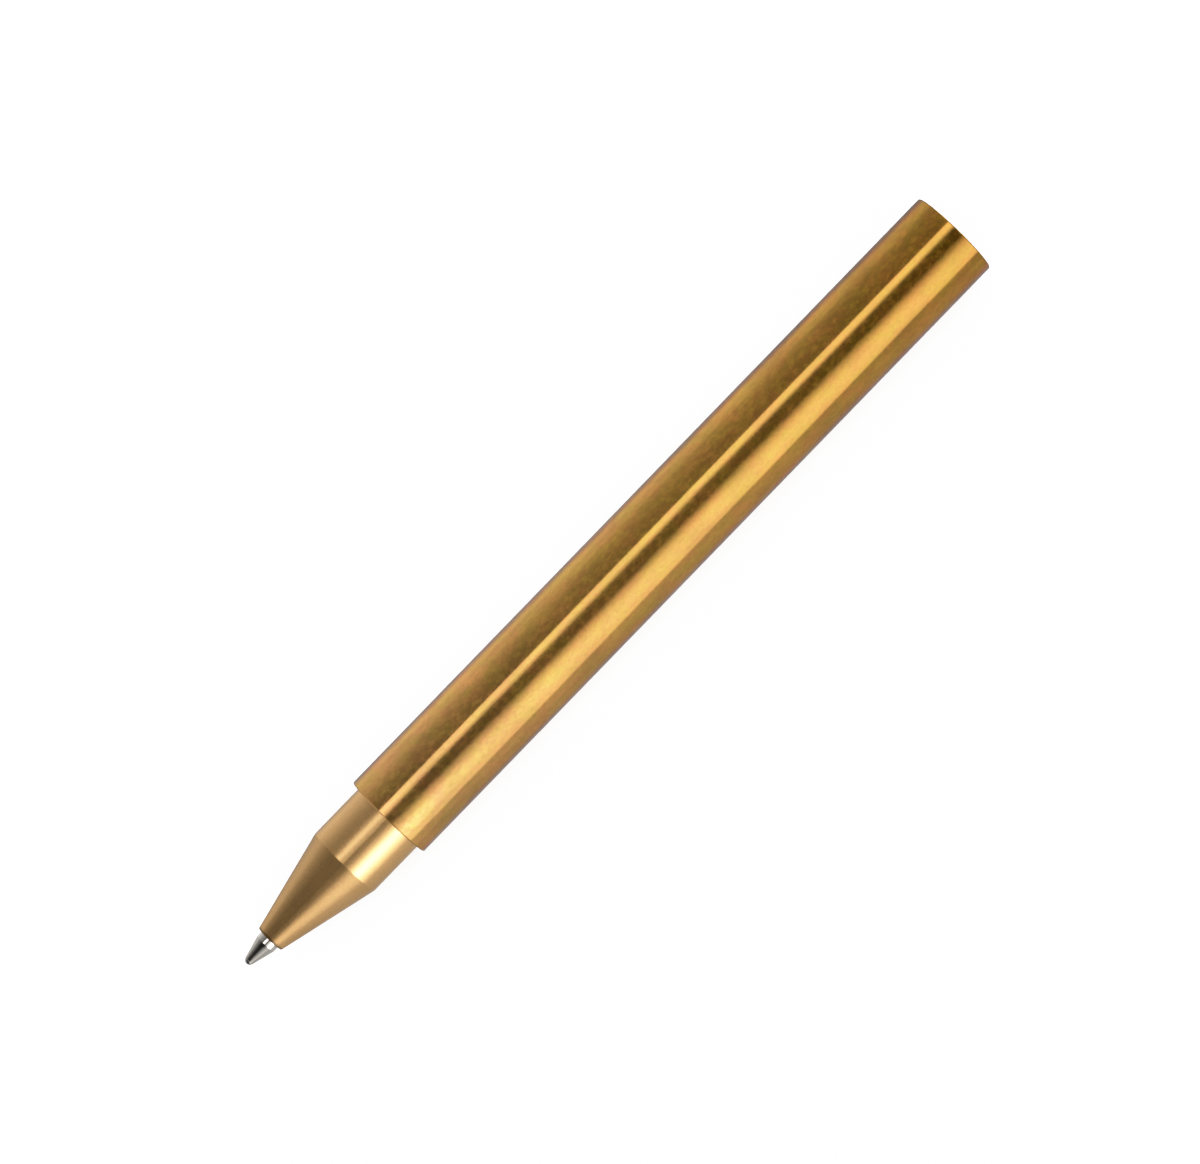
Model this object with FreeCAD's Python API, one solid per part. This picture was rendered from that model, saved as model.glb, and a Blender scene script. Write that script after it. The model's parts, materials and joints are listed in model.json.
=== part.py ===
"""Twist-action brass ballpoint pen with a slim metal refill, one STEP file per piece.

The pen lies along X with its point towards -X and its tail towards +X. Z is up, and the
barrel rests on the plane Z = 0, under the middle of the pen. It is shown with its point out.
A station is a distance in mm along the axis, counted from the writing point.
"""

import FreeCAD, Part
import math
import os
from FreeCAD import Vector

# Outside of the pen
BARREL_OD = 10.0
BARREL_WALL = 0.8
BARREL_LENGTH = 82.0
NOSE_OD = 8.34
NOSE_EXPOSED = 6.3          # length of the nose's plain cylinder that stands out of the barrel
CONE_LENGTH = 10.85
CONE_FRONT_OD = 3.18
POINT_REACH = 3.45          # how far the point stands out of the nose

# Refill: the slim 67 mm metal type
REFILL_LENGTH = 67.0
REFILL_OD = 2.35
REFILL_WALL = 0.2
BALL_OD = 1.0
POINT_HALF_ANGLE = 15.0

# Twist action
TRAVEL = 4.8                # how far the refill goes back
TWIST_ANGLE = 180.0         # turn of the nose that takes it there
PIN_D = 1.2
PIN_STATION = 82.0
SLOT_CLEARANCE = 0.05       # on each side of the pin
POCKET_D = 1.6              # round end of a cam slot
GUIDE_OD = 6.6
GUIDE_WALL = 0.5

# Fits and edges
RUNNING = 0.05              # radial clearance of parts that turn or slide in each other
WASHER_GAP = 0.05           # end play on each side of a washer
EDGE = 0.1                  # eased outer edges
CHAMFER = 0.15              # chamfered inner edges

# Stations along the pen
NOSE_FRONT = POINT_REACH
CONE_END = NOSE_FRONT + CONE_LENGTH
BARREL_FRONT = CONE_END + NOSE_EXPOSED
BARREL_REAR = BARREL_FRONT + BARREL_LENGTH
NOSE_REAR = BARREL_FRONT + 13.4
SOCKET_BOTTOM = NOSE_REAR - 8.0

# Radii that several pieces share
BARREL_R = BARREL_OD / 2
BORE_R = BARREL_R - BARREL_WALL
NOSE_R = NOSE_OD / 2
GUIDE_R = GUIDE_OD / 2
GUIDE_BORE_R = GUIDE_R - GUIDE_WALL
GUIDE_FRONT_BORE_R = GUIDE_BORE_R - 0.3
JOURNAL_R = GUIDE_R + RUNNING
REFILL_R = REFILL_OD / 2
INK_R = REFILL_R - REFILL_WALL
BALL_R = BALL_OD / 2
SLOT_WIDTH = PIN_D + 2 * SLOT_CLEARANCE

X_AXIS = Vector(1, 0, 0)
ORIGIN = Vector(0, 0, 0)
PLACE = Vector(-BARREL_REAR / 2, 0, BARREL_R)


def turned(*outline):
    """A solid of revolution about the pen's axis from the corners (station, radius) of its section."""
    corners = [Vector(station, 0, radius) for station, radius in outline]
    section = Part.Face(Part.makePolygon(corners + corners[:1]))
    return section.revolve(ORIGIN, X_AXIS, 360)


def ring(start, end, inner, outer, bevel=0.0):
    """A plain ring or disc between two stations, with its four rims bevelled."""
    if inner == 0:
        return turned((start, 0), (start, outer - bevel), (start + bevel, outer),
                      (end - bevel, outer), (end, outer - bevel), (end, 0))
    if bevel == 0:
        return turned((start, inner), (start, outer), (end, outer), (end, inner))
    return turned((start, inner + bevel), (start, outer - bevel), (start + bevel, outer),
                  (end - bevel, outer), (end, outer - bevel), (end, inner + bevel),
                  (end - bevel, inner), (start + bevel, inner))


def across(station, diameter, reach, start=0.0):
    """A rod along Y at a station, from start to reach."""
    return Part.makeCylinder(diameter / 2, reach - start, Vector(station, start, 0), Vector(0, 1, 0))


# ---- barrel group --------------------------------------------------------------------------

def barrel_tube():
    return turned((BARREL_FRONT, BORE_R + CHAMFER), (BARREL_FRONT, BARREL_R - EDGE),
                  (BARREL_FRONT + EDGE, BARREL_R), (BARREL_REAR - EDGE, BARREL_R),
                  (BARREL_REAR, BARREL_R - EDGE), (BARREL_REAR, BORE_R + CHAMFER),
                  (BARREL_REAR - CHAMFER, BORE_R), (BARREL_FRONT + CHAMFER, BORE_R))


PLUG_LENGTH = 5.4
PLUG_RECESS = 0.2
PLUG_LEAD = 0.6


def tail_plug():
    """Pressed into the tail, a little below the rim, with a lead-in at its inner end."""
    end = BARREL_REAR - PLUG_RECESS
    start = end - PLUG_LENGTH
    relief_r = BORE_R - 1.6
    return turned((start + 2.4, 0), (start + 2.4, relief_r), (start, relief_r),
                  (start, BORE_R - PLUG_LEAD / 2), (start + PLUG_LEAD, BORE_R),
                  (end - CHAMFER, BORE_R), (end, BORE_R - CHAMFER), (end, 0))


CAM_FRONT = PIN_STATION - 4.0
CAM_REAR = PIN_STATION + TRAVEL + 4.2


def helical_run():
    """The cutter of one cam slot's helix: a rectangle swept along a left-handed helix about +X."""
    mid_r = (JOURNAL_R + BORE_R) / 2
    half_wall = (BORE_R - JOURNAL_R) / 2 + 0.3
    pitch = TRAVEL * 360 / TWIST_ANGLE
    helix = Part.Wire(Part.makeHelix(pitch, TRAVEL, mid_r).Edges)
    climb = math.atan2(pitch, 2 * math.pi * mid_r)
    along = Vector(0, -math.sin(climb), math.cos(climb))     # across the slot, at the helix's start
    start = Vector(mid_r, 0, 0)
    corners = [start + Vector(r, 0, 0) + along * w
               for r, w in ((-half_wall, -SLOT_WIDTH / 2), (half_wall, -SLOT_WIDTH / 2),
                            (half_wall, SLOT_WIDTH / 2), (-half_wall, SLOT_WIDTH / 2))]
    section = Part.makePolygon(corners + corners[:1])
    run = helix.makePipeShell([section], True, True)
    run = run.mirror(ORIGIN, Vector(0, 1, 0))                # left-handed
    run.rotate(ORIGIN, Vector(0, 1, 0), 90)                  # its axis from Z to X
    run.rotate(ORIGIN, X_AXIS, -90)                          # its start from -Z to -Y
    run.translate(Vector(PIN_STATION, 0, 0))
    return run


def cam_sleeve():
    """Pressed into the barrel. Two helical slots, half a turn apart, carry the ends of the cross pin.

    A round pocket at each end of a slot holds the pin there.
    """
    sleeve = ring(CAM_FRONT, CAM_REAR, JOURNAL_R, BORE_R, EDGE)
    run = helical_run()
    for half_turn in (0, 180):
        for station, angle in ((PIN_STATION, 0), (PIN_STATION + TRAVEL, -TWIST_ANGLE)):
            pocket = across(station, POCKET_D, -JOURNAL_R + 0.3, -BORE_R - 0.3)
            pocket.rotate(ORIGIN, X_AXIS, angle + half_turn)
            sleeve = sleeve.cut(pocket)
        turned_run = run.copy()
        turned_run.rotate(ORIGIN, X_AXIS, half_turn)
        sleeve = sleeve.cut(turned_run)
    return sleeve


WASHER_THICKNESS = 0.4
WASHER_R = BORE_R - 0.1
FRONT_WASHER_START = NOSE_REAR + WASHER_GAP
BUSH_FRONT = FRONT_WASHER_START + WASHER_THICKNESS + WASHER_GAP
BUSH_LENGTH = 6.0
REAR_WASHER_START = CAM_REAR + WASHER_GAP


def washer(start):
    """Takes the end thrust of the front group on the barrel group."""
    return ring(start, start + WASHER_THICKNESS, JOURNAL_R, WASHER_R)


def front_bush():
    """Pressed into the barrel behind the nose: the guide tube turns in it."""
    return ring(BUSH_FRONT, BUSH_FRONT + BUSH_LENGTH, JOURNAL_R, BORE_R, EDGE)


# ---- front group ---------------------------------------------------------------------------

NOSE_BORE_R = REFILL_R + RUNNING
GROOVE_FRONT = BARREL_FRONT + 3.0
GROOVE_WIDTH = 0.95
O_RING_SECTION_R = 0.34
O_RING_R = NOSE_R - O_RING_SECTION_R
GROOVE_R = O_RING_R - O_RING_SECTION_R - 0.02
NOSE_RIM_ROUND = 0.12


def nose_cone():
    """Turned from bar: the cone, a plain cylinder, and a shank that turns inside the barrel."""
    body = turned((NOSE_FRONT, NOSE_BORE_R), (NOSE_FRONT, CONE_FRONT_OD / 2), (CONE_END, NOSE_R),
                  (GROOVE_FRONT, NOSE_R), (GROOVE_FRONT, GROOVE_R),
                  (GROOVE_FRONT + GROOVE_WIDTH, GROOVE_R), (GROOVE_FRONT + GROOVE_WIDTH, NOSE_R),
                  (NOSE_REAR - CHAMFER, NOSE_R), (NOSE_REAR, NOSE_R - CHAMFER),
                  (NOSE_REAR, GUIDE_R + CHAMFER), (NOSE_REAR - CHAMFER, GUIDE_R),
                  (SOCKET_BOTTOM, GUIDE_R), (SOCKET_BOTTOM, GUIDE_FRONT_BORE_R),
                  (CONE_END + 1.9, GUIDE_FRONT_BORE_R), (CONE_END + 0.8, REFILL_R + 0.35),
                  (NOSE_FRONT + 6.2, REFILL_R + 0.35), (NOSE_FRONT + 5.6, NOSE_BORE_R))
    rim = [e for e in body.Edges if isinstance(e.Curve, Part.Circle)
           and abs(e.Curve.Radius - CONE_FRONT_OD / 2) < 1e-6]
    return body.makeFillet(NOSE_RIM_ROUND, rim)


def nose_o_ring():
    """Rubs in the barrel's bore, which gives the twist its drag."""
    middle = GROOVE_FRONT + GROOVE_WIDTH / 2
    return Part.makeTorus(O_RING_R, O_RING_SECTION_R, Vector(middle, 0, 0), X_AXIS)


SEAT_FRONT = 47.0
SEAT_LENGTH = 3.0
CLIP_GROOVE_R = GUIDE_R - 0.25
CLIP_THICKNESS = 0.6
CLIP_FRONT = REAR_WASHER_START + WASHER_THICKNESS + WASHER_GAP
GUIDE_REAR = CLIP_FRONT + CLIP_THICKNESS + 1.9


def guide_tube():
    """Screwed into the nose and turning with it. Its two straight slots keep the cross pin from turning."""
    groove_front, groove_rear = CLIP_FRONT - 0.03, CLIP_FRONT + CLIP_THICKNESS + 0.03
    tube = turned((SOCKET_BOTTOM, GUIDE_FRONT_BORE_R), (SOCKET_BOTTOM, GUIDE_R),
                  (groove_front, GUIDE_R), (groove_front, CLIP_GROOVE_R),
                  (groove_rear, CLIP_GROOVE_R), (groove_rear, GUIDE_R),
                  (GUIDE_REAR - CHAMFER, GUIDE_R), (GUIDE_REAR, GUIDE_R - CHAMFER),
                  (GUIDE_REAR, GUIDE_BORE_R), (SEAT_FRONT, GUIDE_BORE_R),
                  (SEAT_FRONT, GUIDE_FRONT_BORE_R))
    reach = GUIDE_R + 1
    slot = Part.makeBox(TRAVEL, 2 * reach, SLOT_WIDTH, Vector(PIN_STATION, -reach, -SLOT_WIDTH / 2))
    for station in (PIN_STATION, PIN_STATION + TRAVEL):
        slot = slot.fuse(across(station, SLOT_WIDTH, reach, -reach))
    return tube.cut(slot)


def snap_ring():
    """An open ring in the guide tube's rear groove, which keeps the nose in the barrel."""
    clip = ring(CLIP_FRONT, CLIP_FRONT + CLIP_THICKNESS, CLIP_GROOVE_R, BORE_R - 0.4)
    gap = Part.makeBox(CLIP_THICKNESS + 2, 2 * CLIP_GROOVE_R * math.sin(math.radians(35)), BORE_R + 1)
    gap.translate(Vector(CLIP_FRONT - 1, -CLIP_GROOVE_R * math.sin(math.radians(35)), 0))
    return clip.cut(gap)


def spring_seat():
    """A bush on the step in the guide tube. The spring stands on it, and the refill slides in it."""
    return ring(SEAT_FRONT, SEAT_FRONT + SEAT_LENGTH, REFILL_R + 0.12, GUIDE_BORE_R, EDGE)


# ---- refill group --------------------------------------------------------------------------

CARRIER_R = GUIDE_BORE_R - 0.08
CARRIER_FRONT = 60.0
CARRIER_REAR = PIN_STATION + 5.0
SPRING_WIRE_D = 0.36
SPRING_MEAN_R = 2.1
SPRING_COILS = 9


def return_spring():
    """Wound round the refill, and ground flat at both ends. It is short while the point is out."""
    start, end = SEAT_FRONT + SEAT_LENGTH, CARRIER_FRONT
    pitch = (end - start) / SPRING_COILS
    overrun = SPRING_WIRE_D / 2
    height = end - start + 2 * overrun - SPRING_WIRE_D
    helix = Part.Wire(Part.makeHelix(pitch, height, SPRING_MEAN_R).Edges)
    section = Part.Wire(Part.makeCircle(SPRING_WIRE_D / 2, Vector(SPRING_MEAN_R, 0, 0), Vector(0, 1, 0)))
    wire = helix.makePipeShell([section], True, True)
    wire.rotate(ORIGIN, Vector(0, 1, 0), 90)
    wire.translate(Vector(start, 0, 0))
    ground = ring(start, end, 0, SPRING_MEAN_R + 1)
    return wire.common(ground)


def refill_carrier():
    """Slides in the guide tube. Four fingers grip the refill's tail, and the cross pin goes through it."""
    waist_r = CARRIER_R - 0.7
    grip_end = REFILL_LENGTH + 1.5
    body = turned((CARRIER_FRONT, REFILL_R + EDGE), (CARRIER_FRONT, CARRIER_R - EDGE),
                  (CARRIER_FRONT + EDGE, CARRIER_R), (grip_end, CARRIER_R), (grip_end + 0.7, waist_r),
                  (PIN_STATION - 4.0, waist_r), (PIN_STATION - 3.3, CARRIER_R),
                  (CARRIER_REAR - EDGE, CARRIER_R), (CARRIER_REAR, CARRIER_R - EDGE),
                  (CARRIER_REAR, 0), (REFILL_LENGTH, 0), (REFILL_LENGTH, REFILL_R),
                  (CARRIER_FRONT + EDGE, REFILL_R))
    finger_gap, finger_length = 0.5, 5.2
    for turn in (45, 135):
        slit = Part.makeBox(finger_length + 1, 2 * BORE_R, finger_gap)
        slit.translate(Vector(CARRIER_FRONT - 1, -BORE_R, -finger_gap / 2))
        slit.rotate(ORIGIN, X_AXIS, turn)
        body = body.cut(slit)
    return body.cut(across(PIN_STATION, PIN_D, BORE_R, -BORE_R))


def cross_pin():
    """Joins the carrier to both cam slots through the guide tube's straight slots."""
    reach = BORE_R - 0.15
    pin = across(PIN_STATION, PIN_D, reach, -reach)
    return pin.makeChamfer(0.12, [e for e in pin.Edges if isinstance(e.Curve, Part.Circle)])


COLLAR_LENGTH = 0.65        # plain part of the point that shows in front of the nose
CONE_BASE = POINT_REACH - COLLAR_LENGTH
TUBE_FRONT = CONE_BASE + 2.8
POINT_REAR = TUBE_FRONT + 3.5
POINT_R = REFILL_R - 0.01
INK_CHANNEL_R = 0.3
LIP_STATION = 0.36
SEAT_GAP = 0.01             # play of the ball in its socket


def point_housing():
    """Holds the ball in a rolled lip, and is pressed into the front of the refill tube."""
    lip_inner = math.sqrt((BALL_R + SEAT_GAP) ** 2 - (BALL_R - LIP_STATION) ** 2)
    lip_back = LIP_STATION + 0.14
    cone_front_r = POINT_R - (CONE_BASE - lip_back) * math.tan(math.radians(POINT_HALF_ANGLE))
    body = turned((LIP_STATION, 0), (LIP_STATION, lip_inner + 0.03), (lip_back, cone_front_r),
                  (CONE_BASE, POINT_R), (TUBE_FRONT, POINT_R), (TUBE_FRONT, INK_R),
                  (POINT_REAR, INK_R), (POINT_REAR, 0))
    socket = Part.makeSphere(BALL_R + SEAT_GAP, Vector(BALL_R, 0, 0))
    channel = ring(BALL_R, POINT_REAR, 0, INK_CHANNEL_R)
    return body.cut(socket).cut(channel)


def writing_ball():
    return Part.makeSphere(BALL_R, Vector(BALL_R, 0, 0))


def refill_tube():
    return ring(TUBE_FRONT, REFILL_LENGTH, INK_R, REFILL_R)


INK_REAR = 50.0
GREASE_LENGTH = 3.0
REFILL_PLUG_LENGTH = 2.0
VENT_R = 0.25


def ink_column():
    """Fills the tube behind the point, and the channel through the point."""
    return turned((2 * BALL_R + 0.05, 0), (2 * BALL_R + 0.05, INK_CHANNEL_R), (POINT_REAR, INK_CHANNEL_R),
                  (POINT_REAR, INK_R), (INK_REAR, INK_R), (INK_REAR, 0))


NODES = {
    "barrel_tube": barrel_tube,
    "tail_plug": tail_plug,
    "cam_sleeve": cam_sleeve,
    "front_bush": front_bush,
    "front_washer": lambda: washer(FRONT_WASHER_START),
    "rear_washer": lambda: washer(REAR_WASHER_START),
    "nose_cone": nose_cone,
    "nose_o_ring": nose_o_ring,
    "guide_tube": guide_tube,
    "snap_ring": snap_ring,
    "spring_seat": spring_seat,
    "return_spring": return_spring,
    "refill_carrier": refill_carrier,
    "cross_pin": cross_pin,
    "refill_tube": refill_tube,
    "point_housing": point_housing,
    "writing_ball": writing_ball,
    "ink_column": ink_column,
    "ink_follower": lambda: ring(INK_REAR, INK_REAR + GREASE_LENGTH, 0, INK_R),
    "refill_plug": lambda: ring(REFILL_LENGTH - REFILL_PLUG_LENGTH, REFILL_LENGTH, VENT_R, INK_R),
}


def main():
    os.makedirs("parts", exist_ok=True)
    for name, make in NODES.items():
        shape = make()
        shape.translate(PLACE)
        shape.exportStep(f"parts/{name}.step")
        print(f"{name:16s} solids {len(shape.Solids)}  valid {shape.isValid()}  "
              f"volume {shape.Volume:9.3f} mm3")


main()
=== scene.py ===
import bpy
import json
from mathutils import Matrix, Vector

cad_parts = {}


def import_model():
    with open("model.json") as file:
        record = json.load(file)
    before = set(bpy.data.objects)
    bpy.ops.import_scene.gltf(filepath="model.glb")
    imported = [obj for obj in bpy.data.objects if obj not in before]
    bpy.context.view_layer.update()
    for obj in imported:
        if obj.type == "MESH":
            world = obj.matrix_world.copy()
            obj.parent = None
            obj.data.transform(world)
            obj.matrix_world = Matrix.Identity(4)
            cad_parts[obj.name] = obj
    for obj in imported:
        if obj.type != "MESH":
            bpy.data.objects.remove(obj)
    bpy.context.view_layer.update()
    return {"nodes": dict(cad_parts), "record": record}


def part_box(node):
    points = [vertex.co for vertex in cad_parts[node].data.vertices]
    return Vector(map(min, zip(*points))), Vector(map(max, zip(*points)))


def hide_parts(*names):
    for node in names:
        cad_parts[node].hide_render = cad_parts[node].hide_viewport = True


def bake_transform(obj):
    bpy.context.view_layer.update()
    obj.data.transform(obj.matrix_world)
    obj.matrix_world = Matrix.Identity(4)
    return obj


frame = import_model()

import bpy
import json
import math
from mathutils import Vector

# Sizes are in metres and angles in degrees. Angles about the pen's axis run from straight up,
# negative towards +Y.
MM = 0.001
BARREL_LOW, BARREL_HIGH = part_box("barrel_tube")
NOSE_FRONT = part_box("nose_cone")[0][0]
AXIS_Z = (BARREL_LOW[2] + BARREL_HIGH[2]) / 2

# Brass: the tones of each kind, darkest first
TARNISHED_TONES = ((0.41, 0.213, 0.033), (0.48, 0.245, 0.038), (0.54, 0.273, 0.043))
TURNED_TONES = ((0.585, 0.332, 0.113), (0.675, 0.384, 0.135))
INNER_TONES = ((0.66, 0.42, 0.13), (0.74, 0.48, 0.16))
FILM_IOR = 1.6
RIM_SHADE_WIDTH = 0.40 * MM               # of the painted shade just behind the nose's front edge

# Return spring
WIRE_R = 0.18 * MM
COILS = 9
CLOSED_COILS = 1                    # at each end
CLOSED_PITCH = 2.1 * WIRE_R         # just over the wire's thickness
STEPS_PER_COIL = 40
WIRE_SIDES = 12

# Camera: straight down on the pen, from above its middle
CAMERA_HEIGHT = 504 * MM            # above the pen's axis
VIEW_WIDTH = 121 * MM               # of the level of the pen's axis that the frame takes in
CAMERA_OFFSET = (1.17 * MM, 1.18 * MM)
CAMERA_ROLL = -45.89
SENSOR = 36.0                       # mm, as Blender counts it
CLIP_START = 0.01
CLIP_END = 100

# Floor and lights
FLOOR_REACH = 20.0                  # from its middle to each side
FLOOR_TONE = (0.90, 0.90, 0.90)
CARD_DISTANCE = 0.6                 # from the pen's axis
CARD_FADE = ((0.885, 1.0), (0.955, 0.0))        # what is left of a card's light near its lower edge
SUN_STRENGTH = 8.0
SUN_SPREAD = 120                    # the width of its disc
SUN_LEAN = 10                       # from straight overhead

# Print
BLACK_LEVEL = 0.006
WHITE_LEVEL = 3.0                   # the light at the top end of the print's curve
SHOULDER = 6                        # how late the highlights ease off
CURVE_STEPS = 24


# ---- shader nodes --------------------------------------------------------------------------

def new_material(name):
    mat = bpy.data.materials.new(name)
    mat.use_nodes = True
    return mat, mat.node_tree, mat.node_tree.nodes["Principled BSDF"]


def object_coords(tree):
    return tree.nodes.new("ShaderNodeTexCoord").outputs["Object"]


def noise(tree, coords, scale, detail=3.0, rough=0.55):
    """Noise in the piece's own coordinates, with its own scale along and across the pen, per metre."""
    mapping = tree.nodes.new("ShaderNodeMapping")
    mapping.inputs["Scale"].default_value = scale
    tree.links.new(coords, mapping.inputs["Vector"])
    tex = tree.nodes.new("ShaderNodeTexNoise")
    tex.inputs["Scale"].default_value = 1.0
    tex.inputs["Detail"].default_value = detail
    tex.inputs["Roughness"].default_value = rough
    tree.links.new(mapping.outputs["Vector"], tex.inputs["Vector"])
    return tex.outputs["Fac"]


def ramp(tree, factor, *stops):
    """Runs straight between (position, tone) pairs. A tone is a colour, or one number for a grey."""
    node = tree.nodes.new("ShaderNodeValToRGB")
    elements = node.color_ramp.elements
    elements[0].position = stops[0][0]
    elements[1].position = stops[-1][0]
    for position, _ in stops[1:-1]:
        elements.new(position)
    for element, (_, tone) in zip(elements, stops):
        element.color = (*tone, 1) if isinstance(tone, tuple) else (tone, tone, tone, 1)
    tree.links.new(factor, node.inputs["Fac"])
    return node.outputs["Color"]


def math_node(tree, operation, *values):
    """One step of arithmetic on sockets and floats."""
    node = tree.nodes.new("ShaderNodeMath")
    node.operation = operation
    for socket, value in zip(node.inputs, values):
        if isinstance(value, float):
            socket.default_value = value
        else:
            tree.links.new(value, socket)
    return node.outputs["Value"]


def curve(tree, factor, stops):
    """Runs straight between (position, value) pairs, like a ramp, but the values may pass 1."""
    top = float(max(value for _, value in stops))
    shares = [(position, value / top) for position, value in stops]
    return math_node(tree, "MULTIPLY", ramp(tree, factor, *shares), top)


def multiply(tree, a, b):
    """Two colours, channel by channel."""
    node = tree.nodes.new("ShaderNodeMix")
    node.data_type = "RGBA"
    node.blend_type = "MULTIPLY"
    node.inputs["Factor"].default_value = 1.0
    tree.links.new(a, node.inputs["A"])
    tree.links.new(b, node.inputs["B"])
    return node.outputs["Result"]


def bump(tree, height, distance, normal=None):
    node = tree.nodes.new("ShaderNodeBump")
    node.inputs["Distance"].default_value = distance
    node.inputs["Strength"].default_value = 1.0
    tree.links.new(height, node.inputs["Height"])
    if normal is not None:
        tree.links.new(normal, node.inputs["Normal"])
    return node.outputs["Normal"]


def share_along(tree, coords, start, end):
    """How far along X a point or a direction lies, from 0 at the start to 1 at the end."""
    split = tree.nodes.new("ShaderNodeSeparateXYZ")
    tree.links.new(coords, split.inputs["Vector"])
    share = tree.nodes.new("ShaderNodeMapRange")
    share.inputs["From Min"].default_value = start
    share.inputs["From Max"].default_value = end
    tree.links.new(split.outputs["X"], share.inputs["Value"])
    return share.outputs["Result"]


# ---- materials -----------------------------------------------------------------------------

def film(shader, weight, rough):
    """The thin clear film on handled brass, which pales the highlights."""
    shader.inputs["Coat Weight"].default_value = weight
    shader.inputs["Coat IOR"].default_value = FILM_IOR
    shader.inputs["Coat Roughness"].default_value = rough


def gloss(tree, shader, grain, low, high):
    """Roughness that follows a grain, between those two values."""
    tree.links.new(ramp(tree, grain, (0.25, low), (0.75, high)), shader.inputs["Roughness"])


def drawn_brass():
    """Raw drawn tube: brown and olive mottled tarnish, a little paler towards the front."""
    mat, tree, shader = new_material("drawn_brass")
    coords = object_coords(tree)
    clouds = noise(tree, coords, (150, 420, 420), 4.0)
    mottle = noise(tree, coords, (2000, 2600, 2600), 4.0, 0.7)
    patches = noise(tree, coords, (380, 600, 600), 3.0, 0.6)
    tarnish = noise(tree, coords, (1100, 1700, 1700), 5.0, 0.85)
    lines = noise(tree, coords, (60, 6000, 6000), 2.0)
    wave = noise(tree, coords, (120, 500, 500), 1.0)
    front = share_along(tree, coords, BARREL_LOW[0], BARREL_HIGH[0])

    brown = ramp(tree, clouds, *zip((0.32, 0.50, 0.68), TARNISHED_TONES))
    olive = ramp(tree, patches, (0.38, (0.95, 1.06, 0.85)), (0.62, (1.05, 0.96, 1.05)))
    spots = ramp(tree, mottle, (0.30, 0.86), (0.52, 1.0), (0.72, 1.05))
    pale = ramp(tree, front, (0.0, (1.0, 1.0, 1.75)), (0.35, (1.0, 1.0, 1.2)), (1.0, (1.02, 0.95, 0.72)))
    tone = brown
    for layer in (olive, spots, pale):
        tone = multiply(tree, tone, layer)
    tree.links.new(tone, shader.inputs["Base Color"])
    gloss(tree, shader, mottle, 0.08, 0.13)
    # A little of the tarnish scatters light as a dull crust does
    tree.links.new(ramp(tree, tarnish, (0.46, 1.0), (0.60, 0.93)), shader.inputs["Metallic"])
    shader.inputs["Specular Tint"].default_value = (0.20, 0.18, 0.16, 1)

    normal = bump(tree, lines, 0.00012 * MM)
    normal = bump(tree, wave, 0.0012 * MM, normal)
    normal = bump(tree, mottle, 0.0004 * MM, normal)
    tree.links.new(normal, shader.inputs["Normal"])
    film(shader, weight=0.6, rough=0.12)
    return mat


def turned_brass(name, tones, low_gloss, high_gloss, rim=None):
    """Satin brass turned from bar: paler, with fine rings round the pen and a soft grain.

    rim is the X of a front edge, where there is one; just behind it a painted shade darkens the colour,
    standing in for the dark reflection off the rounded edge.
    """
    mat, tree, shader = new_material(name)
    coords = object_coords(tree)
    clouds = noise(tree, coords, (180, 300, 300), 4.0)
    grain = noise(tree, coords, (6500, 6500, 6500), 3.0, 0.7)
    rings = noise(tree, coords, (9000, 60, 60), 2.0)

    spots = ramp(tree, grain, (0.30, 0.82), (0.70, 1.10))
    tone = multiply(tree, ramp(tree, clouds, *zip((0.30, 0.70), tones)), spots)
    # Painted shade: the colour darkens in a band just behind the front edge, standing in for the dark
    # reflection off its rounded corner
    if rim is not None:
        back = share_along(tree, coords, rim, rim + RIM_SHADE_WIDTH)
        painted_rim_shade = ramp(tree, back, (0.0, 0.36), (0.45, 0.42), (0.85, 1.0))
        tone = multiply(tree, tone, painted_rim_shade)
    tree.links.new(tone, shader.inputs["Base Color"])
    gloss(tree, shader, grain, low_gloss, high_gloss)
    shader.inputs["Metallic"].default_value = 1.0
    shader.inputs["Specular Tint"].default_value = (0.32, 0.27, 0.18, 1)

    normal = bump(tree, rings, 0.0003 * MM)
    normal = bump(tree, grain, 0.0012 * MM, normal)
    tree.links.new(normal, shader.inputs["Normal"])
    film(shader, weight=0.8, rough=0.28)
    return mat


def plain_metal(name, colour, low_gloss, high_gloss, scale=(1500, 1500, 1500)):
    """Any other metal: a fine grain in its colour and gloss."""
    mat, tree, shader = new_material(name)
    grain = noise(tree, object_coords(tree), scale, 4.0)
    dark = tuple(c * 0.88 for c in colour)
    tree.links.new(ramp(tree, grain, (0.30, dark), (0.70, colour)), shader.inputs["Base Color"])
    gloss(tree, shader, grain, low_gloss, high_gloss)
    tree.links.new(bump(tree, grain, 0.0002 * MM), shader.inputs["Normal"])
    shader.inputs["Metallic"].default_value = 1.0
    return mat


def moulded(name, colour, low_gloss, high_gloss):
    """Plastic, rubber, ink or grease: a slight cloud in its colour, a fine grain in its gloss."""
    mat, tree, shader = new_material(name)
    coords = object_coords(tree)
    clouds = noise(tree, coords, (300, 300, 300))
    grain = noise(tree, coords, (4000, 4000, 4000), 4.0)
    dark = tuple(c * 0.85 for c in colour)
    tree.links.new(ramp(tree, clouds, (0.30, dark), (0.70, colour)), shader.inputs["Base Color"])
    gloss(tree, shader, grain, low_gloss, high_gloss)
    tree.links.new(bump(tree, grain, 0.001 * MM), shader.inputs["Normal"])
    return mat


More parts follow.
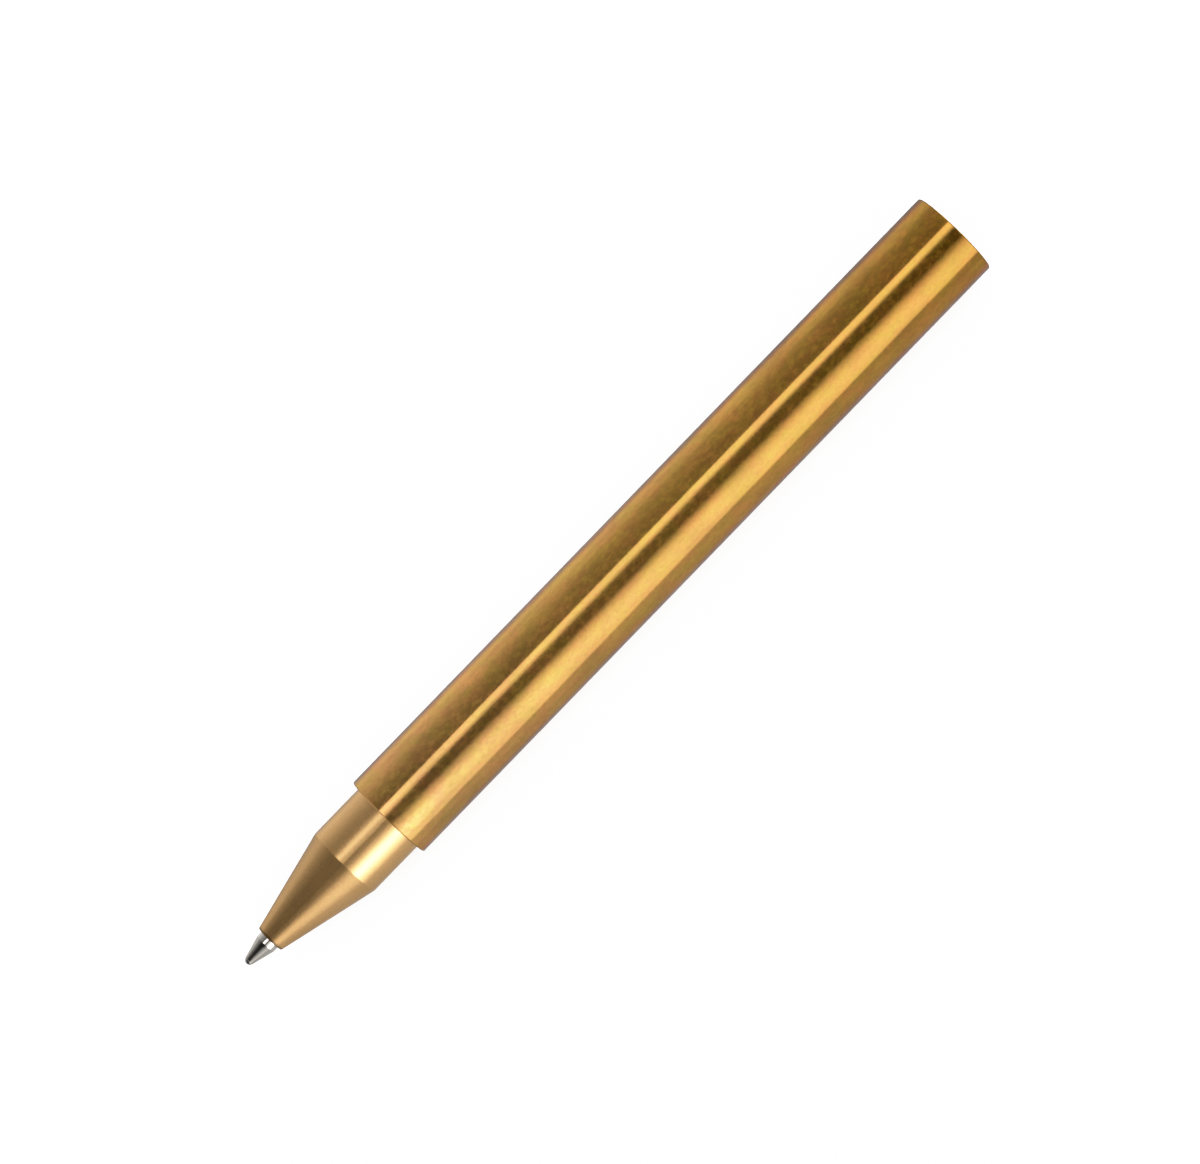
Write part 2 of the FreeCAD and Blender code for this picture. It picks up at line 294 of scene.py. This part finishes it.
MATERIALS = {
    "drawn_brass": drawn_brass(),
    "turned_brass": turned_brass("turned_brass", TURNED_TONES, 0.27, 0.33, rim=NOSE_FRONT),
    "mechanism_brass": turned_brass("mechanism_brass", INNER_TONES, 0.22, 0.30),
    "refill_brass": plain_metal("refill_brass", (0.72, 0.50, 0.20), 0.16, 0.24, (200, 4000, 4000)),
    "nickel_silver": plain_metal("nickel_silver", (0.53, 0.50, 0.455), 0.07, 0.13, (9000, 200, 200)),
    "carbide": plain_metal("carbide", (0.42, 0.42, 0.43), 0.05, 0.10),
    "stainless_steel": plain_metal("stainless_steel", (0.56, 0.56, 0.57), 0.22, 0.32, (300, 5000, 5000)),
    "spring_steel": plain_metal("spring_steel", (0.40, 0.40, 0.42), 0.20, 0.30),
    "white_acetal": moulded("white_acetal", (0.80, 0.80, 0.77), 0.30, 0.42),
    "black_acetal": moulded("black_acetal", (0.020, 0.020, 0.022), 0.32, 0.44),
    "black_rubber": moulded("black_rubber", (0.012, 0.012, 0.012), 0.50, 0.65),
    "grey_plastic": moulded("grey_plastic", (0.22, 0.23, 0.25), 0.35, 0.45),
    "ink": moulded("ink", (0.004, 0.004, 0.008), 0.06, 0.10),
    "grease": moulded("grease", (0.62, 0.50, 0.24), 0.10, 0.18),
}


# ---- the pen -------------------------------------------------------------------------------

def paint(obj, slot):
    obj.data.materials.clear()
    obj.data.materials.append(MATERIALS[slot])


def coil(low, high):
    """Points round the spring's wire, section by section, and the faces that join them."""
    mean_r = (high[1] - low[1]) / 2 - WIRE_R
    steps = COILS * STEPS_PER_COIL
    closed_steps = 2 * CLOSED_COILS * STEPS_PER_COIL
    closed = CLOSED_PITCH / STEPS_PER_COIL
    opened = (high[0] - low[0] - 2 * WIRE_R - closed * closed_steps) / (steps - closed_steps)
    verts = []
    x = low[0] + WIRE_R
    for step in range(steps + 1):
        turn = step / STEPS_PER_COIL
        angle = 2 * math.pi * turn
        out = Vector((0, math.sin(angle), math.cos(angle)))
        for side in range(WIRE_SIDES):
            around = 2 * math.pi * side / WIRE_SIDES
            verts.append(Vector((x, 0, AXIS_Z)) + out * (mean_r + WIRE_R * math.cos(around))
                         + Vector((WIRE_R * math.sin(around), 0, 0)))
        x += closed if turn < CLOSED_COILS or turn >= COILS - CLOSED_COILS else opened
    faces = []
    for start in range(0, steps * WIRE_SIDES, WIRE_SIDES):
        for side in range(WIRE_SIDES):
            a = start + side
            b = start + (side + 1) % WIRE_SIDES
            faces.append((a, b, b + WIRE_SIDES, a + WIRE_SIDES))
    faces.append(tuple(reversed(range(WIRE_SIDES))))
    faces.append(tuple(range(steps * WIRE_SIDES, (steps + 1) * WIRE_SIDES)))
    return verts, faces


def return_spring():
    """The spring as it really is, with closed ends."""
    low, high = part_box("return_spring")
    verts, faces = coil(low, high)
    mesh = bpy.data.meshes.new("coil_spring")
    mesh.from_pydata(verts, [], faces)
    mesh.polygons.foreach_set("use_smooth", [True] * len(mesh.polygons))
    mesh.update()
    obj = bpy.data.objects.new("coil_spring", mesh)
    bpy.context.scene.collection.objects.link(obj)
    obj.data.materials.append(MATERIALS["spring_steel"])
    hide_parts("return_spring")
    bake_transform(obj)


for part in frame["record"]["subparts"]:
    paint(frame["nodes"][part["node"]], part["material_slot"])
return_spring()


# ---- floor, lights and camera --------------------------------------------------------------

def quad(name, corners, mat):
    """A flat sheet that isn't part of the pen, with UVs from its first corner to its third."""
    mesh = bpy.data.meshes.new(name)
    mesh.from_pydata(corners, [], [(0, 1, 2, 3)])
    mesh.uv_layers.new(name="UVMap")
    for loop, uv in zip(mesh.uv_layers[0].data, ((0, 0), (1, 0), (1, 1), (0, 1))):
        loop.uv = uv
    mesh.materials.append(mat)
    obj = bpy.data.objects.new(name, mesh)
    bpy.context.scene.collection.objects.link(obj)
    return obj


def floor():
    """Plain, pale and wide. The pen doesn't mirror it: world() gives what its flanks reflect."""
    mat, _, shader = new_material("floor")
    shader.inputs["Base Color"].default_value = (*FLOOR_TONE, 1)
    shader.inputs["Roughness"].default_value = 0.9
    shader.inputs["Specular IOR Level"].default_value = 0.1
    corners = [(x * FLOOR_REACH, y * FLOOR_REACH, 0) for x, y in ((-1, -1), (1, -1), (1, 1), (-1, 1))]
    quad("floor", corners, mat).visible_glossy = False


def card_material(name, across, along, lower_edge):
    """The light that a card gives, from edge to edge of its sheet. See card()."""
    mat = bpy.data.materials.new(name)
    mat.use_nodes = True
    tree = mat.node_tree
    tree.nodes.clear()
    split = tree.nodes.new("ShaderNodeSeparateXYZ")
    tree.links.new(tree.nodes.new("ShaderNodeTexCoord").outputs["UV"], split.inputs["Vector"])
    u = split.outputs["X"]
    v = split.outputs["Y"]
    emission = tree.nodes.new("ShaderNodeEmission")
    tone = math_node(tree, "MULTIPLY", curve(tree, u, along), curve(tree, v, across))
    tree.links.new(tone, emission.inputs["Strength"])
    bend, slope = lower_edge
    past = math_node(tree, "MAXIMUM", math_node(tree, "SUBTRACT", u, bend), 0.0)
    sloped = math_node(tree, "MULTIPLY_ADD", past, slope, v)
    clear = tree.nodes.new("ShaderNodeBsdfTransparent")
    blend = tree.nodes.new("ShaderNodeMixShader")
    tree.links.new(curve(tree, sloped, CARD_FADE), blend.inputs["Fac"])
    tree.links.new(clear.outputs["BSDF"], blend.inputs[1])
    tree.links.new(emission.outputs["Emission"], blend.inputs[2])
    output = tree.nodes.new("ShaderNodeOutputMaterial")
    tree.links.new(blend.outputs["Shader"], output.inputs["Surface"])
    return mat


def card(name, x_from, x_to, angles_from, angles_to, across, along, lower_edge=(1.0, 0.0), gap=0.0):
    """A softbox: a flat sheet of light over the pen, seen only in its reflections.

    It reaches from x_from to x_to, and at either end it covers those angles about the pen's axis.
    across and along are its tones from edge to edge, as (position, radiance) pairs; the two are
    multiplied. lower_edge is the position along it from which its lower edge slopes, and the slope.
    gap is how much nearer the pen it stands than the other cards, where they would cross.
    """
    middle = math.radians(sum(angles_from + angles_to) / 4)
    reach = CARD_DISTANCE - gap
    centre = Vector((0, -math.sin(middle), math.cos(middle))) * reach + Vector((0, 0, AXIS_Z))
    side = Vector((0, -math.cos(middle), -math.sin(middle))) * reach
    ends = ((x_from, angles_from[0]), (x_to, angles_to[0]), (x_to, angles_to[1]), (x_from, angles_from[1]))
    corners = [centre + Vector((x, 0, 0)) + side * math.tan(math.radians(angle) - middle)
               for x, angle in ends]
    obj = quad(name, corners, card_material(name, across, along, lower_edge))
    obj.visible_camera = False
    obj.visible_diffuse = False
    obj.visible_shadow = False


# Radiance of the surroundings against the angle about the pen's axis, as (degrees, radiance)
# pairs, at several leans of the direction along X. Past 90 degrees either way it stands in for
# the floor.
SKY = (
    (-0.80, ((-180, 0.55), (-150, 0.85), (-123, 0.90), (-100, 0.90), (-85, 0.55), (-70, 0.25),
             (-50, 0.05), (50, 0.05), (80, 0.28), (90, 0.50), (100, 0.48), (114, 0.46), (140, 0.55),
             (180, 0.55))),
    (-0.57, ((-180, 0.55), (-150, 0.85), (-123, 0.90), (-100, 0.90), (-85, 0.42), (-75, 0.30),
             (-55, 0.14), (-45, 0.03), (15, 0.02), (30, 0.15), (80, 0.30), (90, 0.54), (100, 0.50),
             (114, 0.47), (140, 0.55), (180, 0.55))),
    (-0.50, ((-180, 0.55), (-150, 0.85), (-123, 0.90), (-100, 0.90), (-85, 0.42), (-75, 0.34),
             (-60, 0.30), (-45, 0.27), (-30, 0.27), (10, 0.27), (30, 0.27), (80, 0.38), (90, 0.72),
             (100, 0.66), (114, 0.58), (140, 0.65), (180, 0.55))),
    (-0.25, ((-180, 0.55), (-157, 0.62), (-140, 0.85), (-123, 0.88), (-106, 0.75), (-95, 0.72),
             (-85, 0.60), (-74, 0.52), (-60, 0.43), (-45, 0.34), (-30, 0.28), (10, 0.24), (30, 0.25),
             (80, 0.42), (90, 0.60), (99, 0.90), (114, 0.66), (140, 0.85), (180, 0.80))),
    (-0.06, ((-180, 0.65), (-157, 0.85), (-140, 1.4), (-123, 1.5), (-106, 1.0), (-95, 0.98), (-88, 0.88),
             (-74, 0.63), (-60, 0.46), (-45, 0.35), (-30, 0.25), (-8, 0.19), (12, 0.19), (30, 0.26),
             (76, 0.83), (90, 0.84), (99, 0.85), (114, 0.72), (140, 0.90), (180, 0.95))),
    (0.01, ((-180, 0.90), (-157, 0.95), (-140, 1.1), (-123, 1.45), (-106, 1.05), (-95, 0.95), (-88, 0.72),
            (-74, 0.58), (-60, 0.46), (-45, 0.40), (-30, 0.37), (-8, 0.28), (12, 0.26), (30, 0.30),
            (76, 0.80), (90, 0.84), (99, 0.80), (114, 0.74), (140, 0.90), (180, 0.95))),
    (0.10, ((-180, 0.50), (-157, 0.60), (-140, 0.75), (-123, 1.0), (-106, 0.85), (-95, 0.70), (-88, 0.54),
            (-74, 0.40), (-60, 0.36), (-45, 0.27), (-30, 0.26), (-8, 0.135), (12, 0.135), (30, 0.23),
            (70, 0.50), (90, 0.50), (99, 0.62), (114, 0.62), (140, 0.80), (180, 0.90))),
)


def sky_tone(tree, turn, stops):
    """One row of SKY. turn is the angle as a share of a whole turn, from 0 at -180 degrees."""
    return curve(tree, turn, [(angle / 360 + 0.5, radiance) for angle, radiance in stops])


def world():
    """Surroundings whose radiance changes with direction, row by row of SKY."""
    studio = bpy.data.worlds.new("studio")
    studio.use_nodes = True
    tree = studio.node_tree
    direction = tree.nodes.new("ShaderNodeTexCoord").outputs["Generated"]
    split = tree.nodes.new("ShaderNodeSeparateXYZ")
    tree.links.new(direction, split.inputs["Vector"])
    towards = math_node(tree, "MULTIPLY", split.outputs["Y"], -1.0)
    angle = math_node(tree, "ARCTAN2", towards, split.outputs["Z"])
    turn = math_node(tree, "MULTIPLY_ADD", angle, 1 / (2 * math.pi), 0.5)
    result = sky_tone(tree, turn, SKY[0][1])
    for (low, _), (high, stops) in zip(SKY, SKY[1:]):
        blend = tree.nodes.new("ShaderNodeMix")
        tree.links.new(share_along(tree, direction, low, high), blend.inputs["Factor"])
        tree.links.new(result, blend.inputs["A"])
        tree.links.new(sky_tone(tree, turn, stops), blend.inputs["B"])
        result = blend.outputs["Result"]
    background = tree.nodes["Background"]
    background.inputs["Color"].default_value = (1, 1, 1, 1)
    tree.links.new(result, background.inputs["Strength"])
    bpy.context.scene.world = studio


def sun():
    """Wide soft light from nearly overhead, a little towards +Y. The pen doesn't mirror it.

    It lights the floor, the plastics and the dull share of the tarnish.
    """
    data = bpy.data.lights.new("soft_sun", "SUN")
    data.energy = SUN_STRENGTH
    data.angle = math.radians(SUN_SPREAD)
    obj = bpy.data.objects.new("soft_sun", data)
    obj.rotation_euler = (math.radians(-SUN_LEAN), 0, 0)
    obj.visible_glossy = False
    bpy.context.scene.collection.objects.link(obj)


def camera():
    data = bpy.data.cameras.new("camera")
    data.sensor_fit = "HORIZONTAL"
    data.sensor_width = SENSOR
    data.lens = SENSOR * CAMERA_HEIGHT / VIEW_WIDTH
    data.clip_start = CLIP_START
    data.clip_end = CLIP_END
    obj = bpy.data.objects.new("camera", data)
    obj.location = (*CAMERA_OFFSET, AXIS_Z + CAMERA_HEIGHT)
    obj.rotation_euler = (0, 0, math.radians(CAMERA_ROLL))
    bpy.context.scene.collection.objects.link(obj)
    bpy.context.scene.camera = obj


def print_tone(light):
    """Straight in the shadows, easing off towards white."""
    return light / (1 + light ** SHOULDER) ** (1 / SHOULDER)


def develop():
    """A print of the picture: the veil of stray light taken off its blacks, its highlights eased off."""
    view = bpy.context.scene.view_settings
    view.view_transform = "Standard"
    view.use_curve_mapping = True
    mapping = view.curve_mapping
    mapping.black_level = (BLACK_LEVEL, BLACK_LEVEL, BLACK_LEVEL)
    mapping.white_level = (WHITE_LEVEL, WHITE_LEVEL, WHITE_LEVEL)
    tone = mapping.curves[3]            # the curve that red, green and blue share
    tone.points[-1].location = (1, print_tone(WHITE_LEVEL))
    for step in range(1, CURVE_STEPS):
        tone.points.new(step / CURVE_STEPS, print_tone(WHITE_LEVEL * step / CURVE_STEPS))
    mapping.update()


floor()
card("key_softbox", -0.7, 0.7, (14, 86), (14, 86), lower_edge=(0.47, 1.25),
     across=((0.0, 0.10), (0.077, 0.22), (0.22, 0.58), (0.344, 0.87), (0.466, 1.0), (0.589, 1.0),
             (0.725, 0.88), (1.0, 0.80)),
     along=((0.0, 0.4), (0.17, 0.85), (0.23, 1.4), (0.38, 2.0), (0.444, 2.0), (0.47, 2.1), (0.50, 2.2),
            (0.56, 2.05), (0.62, 1.85), (1.0, 0.9)))
card("nose_softbox", -0.168, -0.087, (14, 86), (14, 86), gap=0.005,
     across=((0.0, 0.6), (0.077, 1.5), (0.22, 1.6), (0.30, 3.2), (0.344, 8.0), (0.45, 19.0), (0.58, 17.0),
             (0.69, 4.6), (0.80, 2.9), (1.0, 4.2)),
     along=((0.0, 0.7), (0.3, 1.0), (1.0, 1.0)))
card("strip_light", -0.17, 0.26, (-24.5, -8.0), (-31.5, -12.2),
     across=((0.0, 0.8), (0.15, 1.0), (0.6, 1.0), (0.85, 0.6)),
     along=((0.0, 3.9), (0.21, 3.9), (0.245, 2.1), (0.4, 2.2), (1.0, 2.0)))
sun()
world()
camera()
develop()
